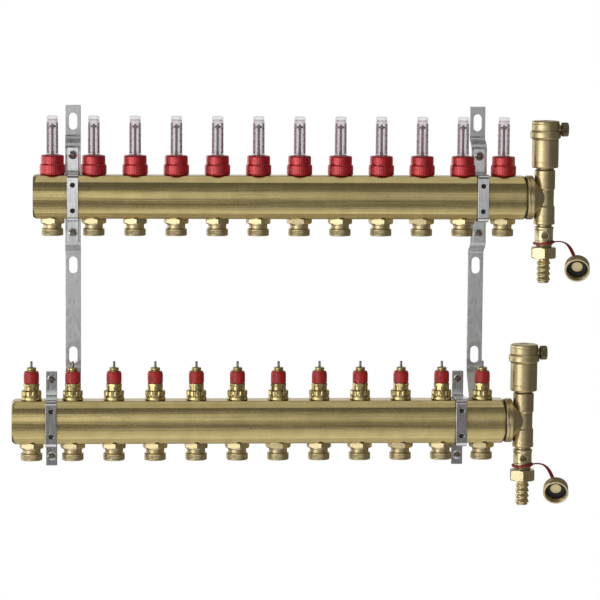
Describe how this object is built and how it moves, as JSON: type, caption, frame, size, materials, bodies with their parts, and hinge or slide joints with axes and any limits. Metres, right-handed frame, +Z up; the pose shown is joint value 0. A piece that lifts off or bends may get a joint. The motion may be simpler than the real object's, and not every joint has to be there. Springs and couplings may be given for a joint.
{
  "type": "underfloor heating manifold",
  "caption": "Wall-hung brass manifold: a supply bar with flow meters over a return bar with preset valves, each with an air vent and a drain.",
  "frame": {"origin": "wall face of the left bracket, on its centre line, midway between the two bar axes", "axes": "+X along the bars towards the vents and drains, +Y into the wall, +Z up"},
  "size_m": [0.7075, 0.0978, 0.4856],
  "materials": {
    "bar_brass": "satin extruded",
    "cast_brass": "satin turned",
    "polished_brass": "bright turned",
    "dark_brass": "dull",
    "galvanised_steel": "galvanised",
    "bright_zinc": "bright zinc plated",
    "pin_steel": "ground",
    "meter_red": "gloss",
    "preset_red": "satin",
    "tether_red": "satin",
    "sight_clear": "clear plastic",
    "scale_ink": "printed",
    "meter_grey": "satin",
    "gasket_rubber": "matte"
  },
  "bodies": {
    "manifold": {"supply_bar": "bar_brass", "return_bar": "bar_brass", "bracket_left": "galvanised_steel", "bracket_right": "galvanised_steel", "supply_clamp_left": "bright_zinc", "supply_clamp_right": "bright_zinc", "return_clamp_left": "bright_zinc", "return_clamp_right": "bright_zinc", "supply_end_tee": "cast_brass", "supply_air_vent": "cast_brass", "supply_drain_valve": "polished_brass", "return_end_tee": "cast_brass", "return_air_vent": "cast_brass", "return_drain_valve": "polished_brass"},
    "flow_meter_01": {"flow_meter_01": "meter_red"},
    "flow_meter_02": {"flow_meter_02": "meter_red"},
    "flow_meter_03": {"flow_meter_03": "meter_red"},
    "flow_meter_04": {"flow_meter_04": "meter_red"},
    "flow_meter_05": {"flow_meter_05": "meter_red"},
    "flow_meter_06": {"flow_meter_06": "meter_red"},
    "flow_meter_07": {"flow_meter_07": "meter_red"},
    "flow_meter_08": {"flow_meter_08": "meter_red"},
    "flow_meter_09": {"flow_meter_09": "meter_red"},
    "flow_meter_10": {"flow_meter_10": "meter_red"},
    "flow_meter_11": {"flow_meter_11": "meter_red"},
    "flow_meter_12": {"flow_meter_12": "meter_red"},
    "preset_ring_01": {"preset_ring_01": "preset_red"},
    "valve_pin_01": {"valve_pin_01": "pin_steel"},
    "preset_ring_02": {"preset_ring_02": "preset_red"},
    "valve_pin_02": {"valve_pin_02": "pin_steel"},
    "preset_ring_03": {"preset_ring_03": "preset_red"},
    "valve_pin_03": {"valve_pin_03": "pin_steel"},
    "preset_ring_04": {"preset_ring_04": "preset_red"},
    "valve_pin_04": {"valve_pin_04": "pin_steel"},
    "preset_ring_05": {"preset_ring_05": "preset_red"},
    "valve_pin_05": {"valve_pin_05": "pin_steel"},
    "preset_ring_06": {"preset_ring_06": "preset_red"},
    "valve_pin_06": {"valve_pin_06": "pin_steel"},
    "preset_ring_07": {"preset_ring_07": "preset_red"},
    "valve_pin_07": {"valve_pin_07": "pin_steel"},
    "preset_ring_08": {"preset_ring_08": "preset_red"},
    "valve_pin_08": {"valve_pin_08": "pin_steel"},
    "preset_ring_09": {"preset_ring_09": "preset_red"},
    "valve_pin_09": {"valve_pin_09": "pin_steel"},
    "preset_ring_10": {"preset_ring_10": "preset_red"},
    "valve_pin_10": {"valve_pin_10": "pin_steel"},
    "preset_ring_11": {"preset_ring_11": "preset_red"},
    "valve_pin_11": {"valve_pin_11": "pin_steel"},
    "preset_ring_12": {"preset_ring_12": "preset_red"},
    "valve_pin_12": {"valve_pin_12": "pin_steel"},
    "supply_vent_cap": {"supply_vent_cap": "dark_brass"},
    "supply_drain_spindle": {"supply_drain_spindle": "cast_brass"},
    "supply_hose_union": {"supply_hose_union": "polished_brass"},
    "supply_cap_tether": {"supply_cap_tether": "tether_red"},
    "supply_drain_cap": {"supply_drain_cap": "dark_brass"},
    "return_vent_cap": {"return_vent_cap": "dark_brass"},
    "return_drain_spindle": {"return_drain_spindle": "cast_brass"},
    "return_hose_union": {"return_hose_union": "polished_brass"},
    "return_cap_tether": {"return_cap_tether": "tether_red"},
    "return_drain_cap": {"return_drain_cap": "dark_brass"}
  },
  "joints": [
    {"name": "supply_vent_cap_turn", "type": "hinge", "parent": "manifold", "child": "supply_vent_cap", "pos_m": [0.5961, -0.0458, 0.2194], "axis": [1, 0, 0], "range_deg": [0, 720]},
    {"name": "supply_drain_spindle_turn", "type": "hinge", "parent": "manifold", "child": "supply_drain_spindle", "pos_m": [0.5768, -0.0458, 0.0895], "axis": [0, -1, 0], "range_deg": [0, 90]},
    {"name": "supply_hose_union_turn", "type": "hinge", "parent": "manifold", "child": "supply_hose_union", "pos_m": [0.5768, -0.0458, 0.068], "axis": [0, 0, 1], "continuous": true},
    {"name": "supply_cap_tether_swing", "type": "hinge", "parent": "manifold", "child": "supply_cap_tether", "pos_m": [0.5768, -0.0458, 0.0805], "axis": [0, 0, 1], "range_deg": [-180, 45]},
    {"name": "supply_drain_cap_spin", "type": "hinge", "parent": "supply_cap_tether", "child": "supply_drain_cap", "pos_m": [0.6178, -0.0518, 0.0495], "axis": [-0.1308, -0.9305, -0.342], "continuous": true},
    {"name": "return_vent_cap_turn", "type": "hinge", "parent": "manifold", "child": "return_vent_cap", "pos_m": [0.5706, -0.0708, -0.0526], "axis": [1, 0, 0], "range_deg": [0, 720]},
    {"name": "return_drain_spindle_turn", "type": "hinge", "parent": "manifold", "child": "return_drain_spindle", "pos_m": [0.5513, -0.0708, -0.1825], "axis": [0, -1, 0], "range_deg": [0, 90]},
    {"name": "return_hose_union_turn", "type": "hinge", "parent": "manifold", "child": "return_hose_union", "pos_m": [0.5513, -0.0708, -0.204], "axis": [0, 0, 1], "continuous": true},
    {"name": "return_cap_tether_swing", "type": "hinge", "parent": "manifold", "child": "return_cap_tether", "pos_m": [0.5513, -0.0708, -0.1915], "axis": [0, 0, 1], "range_deg": [-180, 45]},
    {"name": "return_drain_cap_spin", "type": "hinge", "parent": "return_cap_tether", "child": "return_drain_cap", "pos_m": [0.5923, -0.0768, -0.2225], "axis": [-0.1308, -0.9305, -0.342], "continuous": true},
    {"name": "flow_meter_01_turn", "type": "hinge", "parent": "manifold", "child": "flow_meter_01", "pos_m": [-0.0245, -0.0458, 0.16225], "axis": [0, 0, 1], "range_deg": [0, 900]},
    {"name": "flow_meter_02_turn", "type": "hinge", "parent": "manifold", "child": "flow_meter_02", "pos_m": [0.0255, -0.0458, 0.16225], "axis": [0, 0, 1], "range_deg": [0, 900]},
    {"name": "flow_meter_03_turn", "type": "hinge", "parent": "manifold", "child": "flow_meter_03", "pos_m": [0.0755, -0.0458, 0.16225], "axis": [0, 0, 1], "range_deg": [0, 900]},
    {"name": "flow_meter_04_turn", "type": "hinge", "parent": "manifold", "child": "flow_meter_04", "pos_m": [0.1255, -0.0458, 0.16225], "axis": [0, 0, 1], "range_deg": [0, 900]},
    {"name": "flow_meter_05_turn", "type": "hinge", "parent": "manifold", "child": "flow_meter_05", "pos_m": [0.1755, -0.0458, 0.16225], "axis": [0, 0, 1], "range_deg": [0, 900]},
    {"name": "flow_meter_06_turn", "type": "hinge", "parent": "manifold", "child": "flow_meter_06", "pos_m": [0.2255, -0.0458, 0.16225], "axis": [0, 0, 1], "range_deg": [0, 900]},
    {"name": "flow_meter_07_turn", "type": "hinge", "parent": "manifold", "child": "flow_meter_07", "pos_m": [0.2755, -0.0458, 0.16225], "axis": [0, 0, 1], "range_deg": [0, 900]},
    {"name": "flow_meter_08_turn", "type": "hinge", "parent": "manifold", "child": "flow_meter_08", "pos_m": [0.3255, -0.0458, 0.16225], "axis": [0, 0, 1], "range_deg": [0, 900]},
    {"name": "flow_meter_09_turn", "type": "hinge", "parent": "manifold", "child": "flow_meter_09", "pos_m": [0.3755, -0.0458, 0.16225], "axis": [0, 0, 1], "range_deg": [0, 900]},
    {"name": "flow_meter_10_turn", "type": "hinge", "parent": "manifold", "child": "flow_meter_10", "pos_m": [0.4255, -0.0458, 0.16225], "axis": [0, 0, 1], "range_deg": [0, 900]},
    {"name": "flow_meter_11_turn", "type": "hinge", "parent": "manifold", "child": "flow_meter_11", "pos_m": [0.4755, -0.0458, 0.16225], "axis": [0, 0, 1], "range_deg": [0, 900]},
    {"name": "flow_meter_12_turn", "type": "hinge", "parent": "manifold", "child": "flow_meter_12", "pos_m": [0.5255, -0.0458, 0.16225], "axis": [0, 0, 1], "range_deg": [0, 900]},
    {"name": "preset_ring_01_turn", "type": "hinge", "parent": "manifold", "child": "preset_ring_01", "pos_m": [-0.05, -0.0708, -0.08905], "axis": [0, 0, 1], "range_deg": [0, 315]},
    {"name": "valve_pin_01_press", "type": "slide", "parent": "manifold", "child": "valve_pin_01", "axis": [0, 0, 1], "range_m": [-0.0025, 0], "stiffness_N_per_m": 2000, "springref_m": 0.005},
    {"name": "preset_ring_02_turn", "type": "hinge", "parent": "manifold", "child": "preset_ring_02", "pos_m": [0, -0.0708, -0.08905], "axis": [0, 0, 1], "range_deg": [0, 315]},
    {"name": "valve_pin_02_press", "type": "slide", "parent": "manifold", "child": "valve_pin_02", "axis": [0, 0, 1], "range_m": [-0.0025, 0], "stiffness_N_per_m": 2000, "springref_m": 0.005},
    {"name": "preset_ring_03_turn", "type": "hinge", "parent": "manifold", "child": "preset_ring_03", "pos_m": [0.05, -0.0708, -0.08905], "axis": [0, 0, 1], "range_deg": [0, 315]},
    {"name": "valve_pin_03_press", "type": "slide", "parent": "manifold", "child": "valve_pin_03", "axis": [0, 0, 1], "range_m": [-0.0025, 0], "stiffness_N_per_m": 2000, "springref_m": 0.005},
    {"name": "preset_ring_04_turn", "type": "hinge", "parent": "manifold", "child": "preset_ring_04", "pos_m": [0.1, -0.0708, -0.08905], "axis": [0, 0, 1], "range_deg": [0, 315]},
    {"name": "valve_pin_04_press", "type": "slide", "parent": "manifold", "child": "valve_pin_04", "axis": [0, 0, 1], "range_m": [-0.0025, 0], "stiffness_N_per_m": 2000, "springref_m": 0.005},
    {"name": "preset_ring_05_turn", "type": "hinge", "parent": "manifold", "child": "preset_ring_05", "pos_m": [0.15, -0.0708, -0.08905], "axis": [0, 0, 1], "range_deg": [0, 315]},
    {"name": "valve_pin_05_press", "type": "slide", "parent": "manifold", "child": "valve_pin_05", "axis": [0, 0, 1], "range_m": [-0.0025, 0], "stiffness_N_per_m": 2000, "springref_m": 0.005},
    {"name": "preset_ring_06_turn", "type": "hinge", "parent": "manifold", "child": "preset_ring_06", "pos_m": [0.2, -0.0708, -0.08905], "axis": [0, 0, 1], "range_deg": [0, 315]},
    {"name": "valve_pin_06_press", "type": "slide", "parent": "manifold", "child": "valve_pin_06", "axis": [0, 0, 1], "range_m": [-0.0025, 0], "stiffness_N_per_m": 2000, "springref_m": 0.005},
    {"name": "preset_ring_07_turn", "type": "hinge", "parent": "manifold", "child": "preset_ring_07", "pos_m": [0.25, -0.0708, -0.08905], "axis": [0, 0, 1], "range_deg": [0, 315]},
    {"name": "valve_pin_07_press", "type": "slide", "parent": "manifold", "child": "valve_pin_07", "axis": [0, 0, 1], "range_m": [-0.0025, 0], "stiffness_N_per_m": 2000, "springref_m": 0.005},
    {"name": "preset_ring_08_turn", "type": "hinge", "parent": "manifold", "child": "preset_ring_08", "pos_m": [0.3, -0.0708, -0.08905], "axis": [0, 0, 1], "range_deg": [0, 315]},
    {"name": "valve_pin_08_press", "type": "slide", "parent": "manifold", "child": "valve_pin_08", "axis": [0, 0, 1], "range_m": [-0.0025, 0], "stiffness_N_per_m": 2000, "springref_m": 0.005},
    {"name": "preset_ring_09_turn", "type": "hinge", "parent": "manifold", "child": "preset_ring_09", "pos_m": [0.35, -0.0708, -0.08905], "axis": [0, 0, 1], "range_deg": [0, 315]},
    {"name": "valve_pin_09_press", "type": "slide", "parent": "manifold", "child": "valve_pin_09", "axis": [0, 0, 1], "range_m": [-0.0025, 0], "stiffness_N_per_m": 2000, "springref_m": 0.005},
    {"name": "preset_ring_10_turn", "type": "hinge", "parent": "manifold", "child": "preset_ring_10", "pos_m": [0.4, -0.0708, -0.08905], "axis": [0, 0, 1], "range_deg": [0, 315]},
    {"name": "valve_pin_10_press", "type": "slide", "parent": "manifold", "child": "valve_pin_10", "axis": [0, 0, 1], "range_m": [-0.0025, 0], "stiffness_N_per_m": 2000, "springref_m": 0.005},
    {"name": "preset_ring_11_turn", "type": "hinge", "parent": "manifold", "child": "preset_ring_11", "pos_m": [0.45, -0.0708, -0.08905], "axis": [0, 0, 1], "range_deg": [0, 315]},
    {"name": "valve_pin_11_press", "type": "slide", "parent": "manifold", "child": "valve_pin_11", "axis": [0, 0, 1], "range_m": [-0.0025, 0], "stiffness_N_per_m": 2000, "springref_m": 0.005},
    {"name": "preset_ring_12_turn", "type": "hinge", "parent": "manifold", "child": "preset_ring_12", "pos_m": [0.5, -0.0708, -0.08905], "axis": [0, 0, 1], "range_deg": [0, 315]},
    {"name": "valve_pin_12_press", "type": "slide", "parent": "manifold", "child": "valve_pin_12", "axis": [0, 0, 1], "range_m": [-0.0025, 0], "stiffness_N_per_m": 2000, "springref_m": 0.005}
  ]
}
